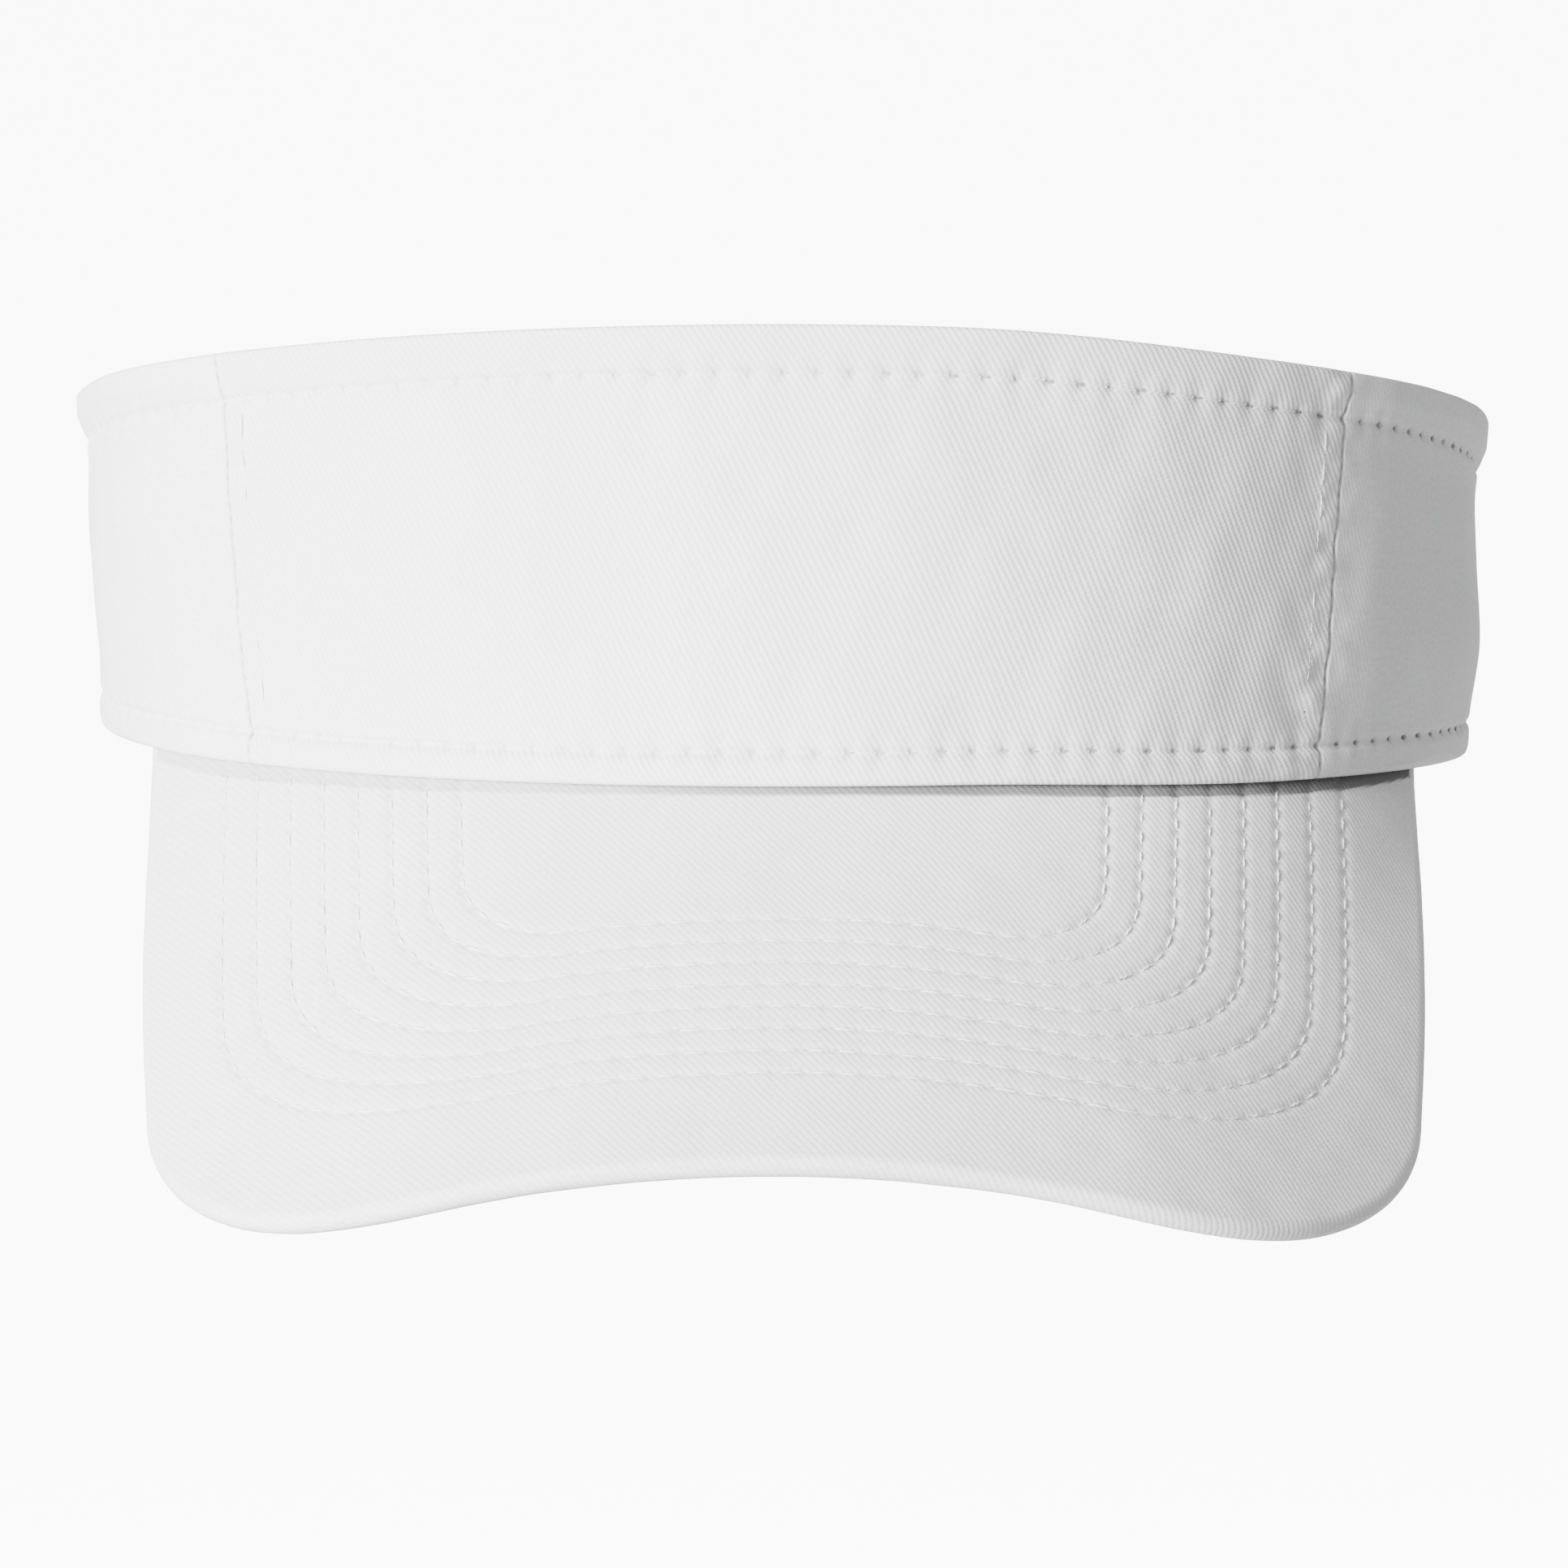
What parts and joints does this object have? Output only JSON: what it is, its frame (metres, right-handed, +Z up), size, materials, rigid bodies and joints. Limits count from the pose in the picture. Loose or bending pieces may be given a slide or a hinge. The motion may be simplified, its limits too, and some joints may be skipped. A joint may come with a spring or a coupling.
{
  "type": "sun visor",
  "caption": "Cotton twill sun visor: an open-topped fabric band with a stitched, curved stiff bill and a strap with a clamp buckle at the back.",
  "frame": {"origin": "middle of the head opening, in the plane of the band's lower edge at the front", "axes": "+Z up through the crown, -Y to the front where the bill is, +X to the wearer's left"},
  "size_m": [0.195, 0.2433, 0.1147],
  "materials": {
    "crown_twill": "white cotton twill, matte",
    "bill_twill": "white cotton twill over a stiff board",
    "strap_twill": "white cotton twill strap, folded and edge stitched",
    "interlining": "woven stiffener, matte",
    "seam_tape": "woven cotton tape",
    "sweatband_cotton": "soft white cotton band",
    "board": "plain plastic board",
    "buckle_metal": "brushed brass"
  },
  "bodies": {
    "crown_and_bill": {"front_panel": "crown_twill", "left_side_panel": "crown_twill", "right_side_panel": "crown_twill", "front_interlining": "interlining", "left_seam_tape": "seam_tape", "right_seam_tape": "seam_tape", "sweatband": "sweatband_cotton", "bill_top_cover": "bill_twill", "bill_board": "board", "bill_under_cover": "bill_twill", "buckle_frame": "buckle_metal", "buckle_pin": "buckle_metal", "buckle_loop": "crown_twill"},
    "strap": {"adjuster_strap": "strap_twill"},
    "clamp_lever": {"buckle_lever": "buckle_metal"}
  },
  "joints": [
    {"name": "strap_adjust", "type": "hinge", "parent": "crown_and_bill", "child": "strap", "pos_m": [0, -0.00579, 0.0176], "axis": [0, 0, 1], "range_deg": [-14, 14]},
    {"name": "lever_open", "type": "hinge", "parent": "crown_and_bill", "child": "clamp_lever", "pos_m": [-0.02204, 0.08973, 0.0176], "axis": [0, 0, -1], "range_deg": [0, 100]}
  ]
}
